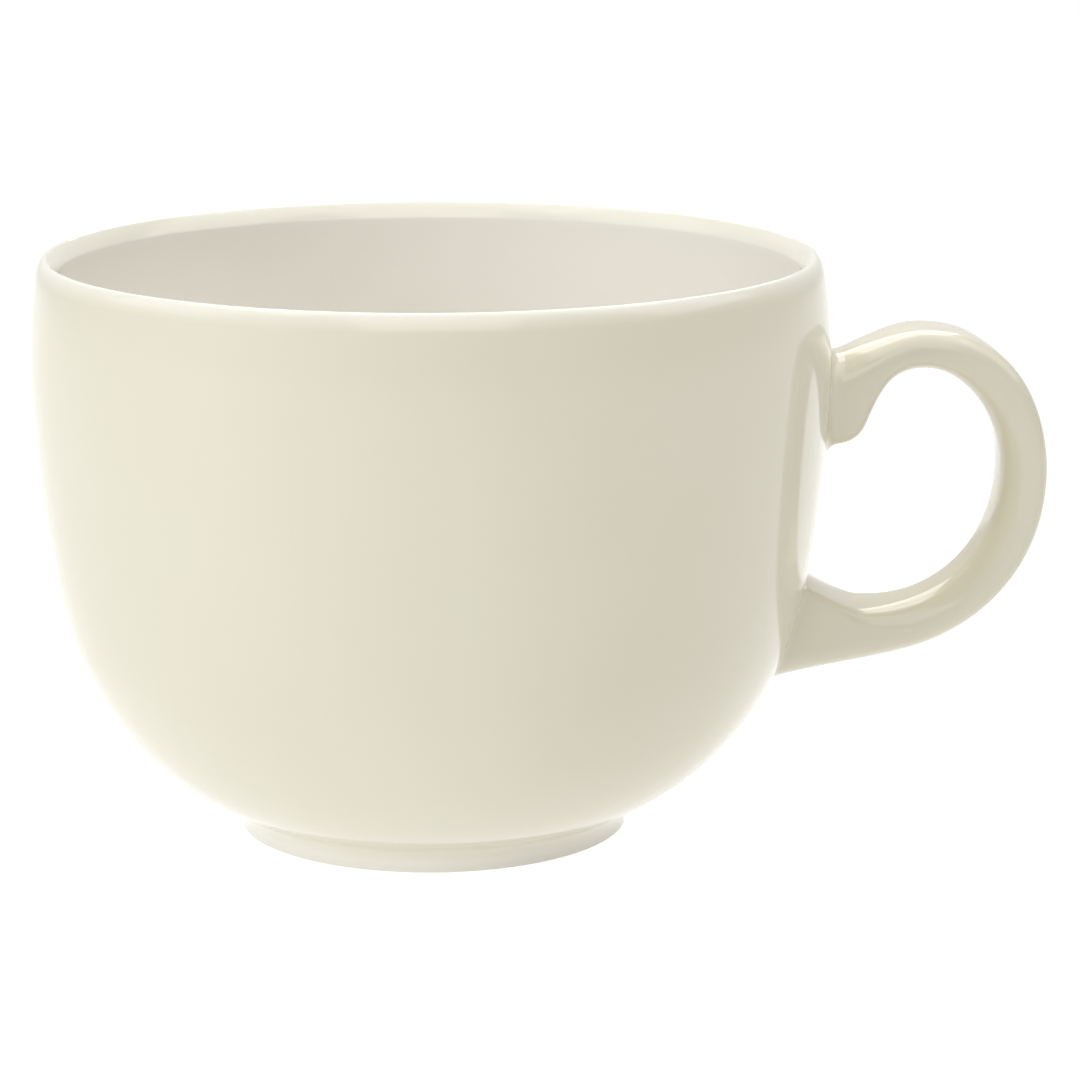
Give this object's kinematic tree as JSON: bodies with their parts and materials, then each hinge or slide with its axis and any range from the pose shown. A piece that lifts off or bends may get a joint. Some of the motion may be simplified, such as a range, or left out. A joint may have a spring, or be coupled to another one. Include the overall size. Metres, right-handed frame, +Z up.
{
  "type": "coffee mug",
  "caption": "Wide round-bellied ceramic coffee mug with a cream glaze, a low foot ring and a loop handle for one or two fingers.",
  "frame": {"origin": "on the table, under the middle of the whole mug's box with its handle; the bowl's axis is at x = -0.01495 m", "axes": "+Z up out of the bowl's mouth, +X the way the handle points"},
  "size_m": [0.1398, 0.11, 0.0805],
  "materials": {
    "cream_glaze": "smooth glossy cream-white glaze over fired clay",
    "bare_clay": "fired unglazed slip, matt"
  },
  "bodies": {
    "root": {"bowl": "cream_glaze", "foot_ring": "cream_glaze", "foot_slip": "bare_clay", "handle": "cream_glaze", "upper_handle_slip": "bare_clay", "lower_handle_slip": "bare_clay"}
  },
  "joints": []
}
